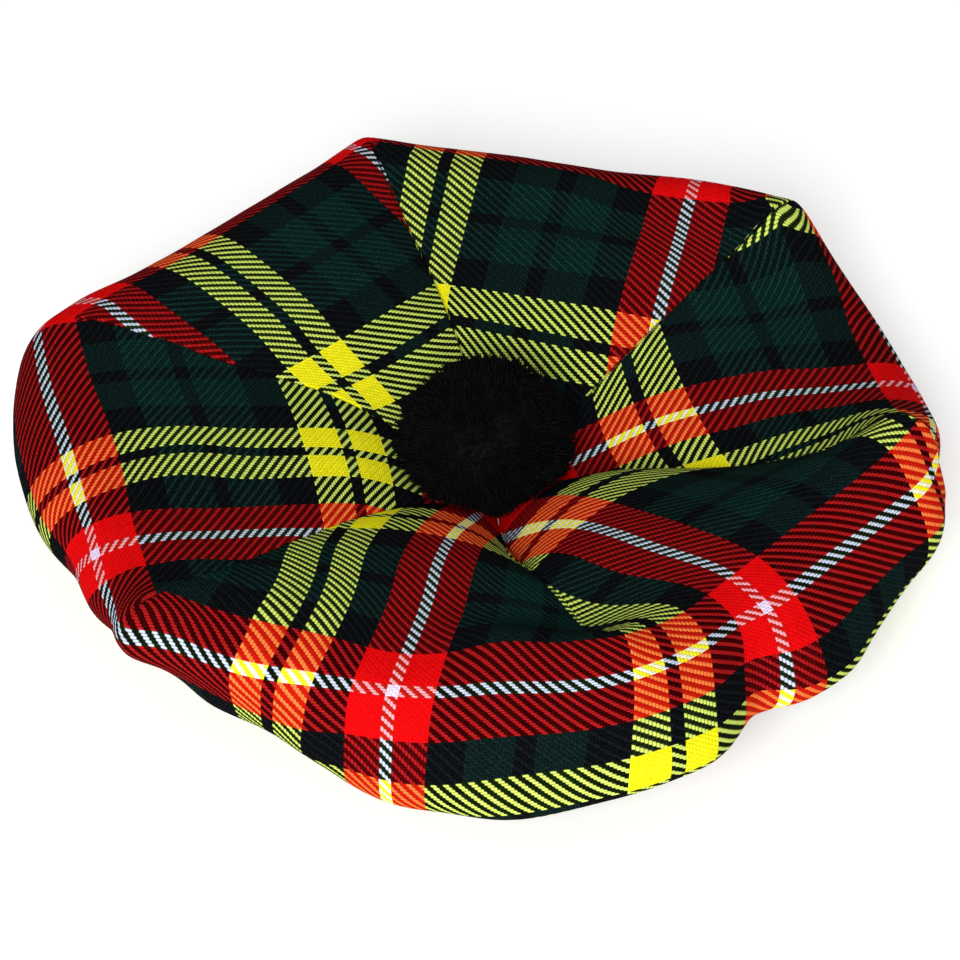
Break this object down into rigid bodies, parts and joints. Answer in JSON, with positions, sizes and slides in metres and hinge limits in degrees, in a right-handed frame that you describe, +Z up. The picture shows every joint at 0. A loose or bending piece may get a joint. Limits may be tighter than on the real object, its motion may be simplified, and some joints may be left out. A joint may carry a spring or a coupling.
{
  "type": "tam o'shanter",
  "caption": "Soft round cloth hat of wedge-shaped gores with a dished crown, a full rim turned under to a plain headband, and a yarn pompom in the middle.",
  "frame": {"origin": "middle of the head opening, at the headband's lower edge, where it meets what the hat lies on", "axes": "+Z up through the pompom, front of the hat towards -Y, its left side as seen from the front towards -X"},
  "size_m": [0.2793, 0.3035, 0.0697],
  "materials": {
    "tartan_cloth": "brushed wool twill in a red, green, navy, yellow and white check",
    "band_cloth": "matt black cloth",
    "pompom_yarn": "cut black wool yarn"
  },
  "bodies": {
    "root": {"gore_front": "tartan_cloth", "gore_front_right": "tartan_cloth", "gore_right": "tartan_cloth", "gore_back": "tartan_cloth", "gore_back_left": "tartan_cloth", "gore_left": "tartan_cloth", "headband": "band_cloth", "pompom": "pompom_yarn"}
  },
  "joints": []
}
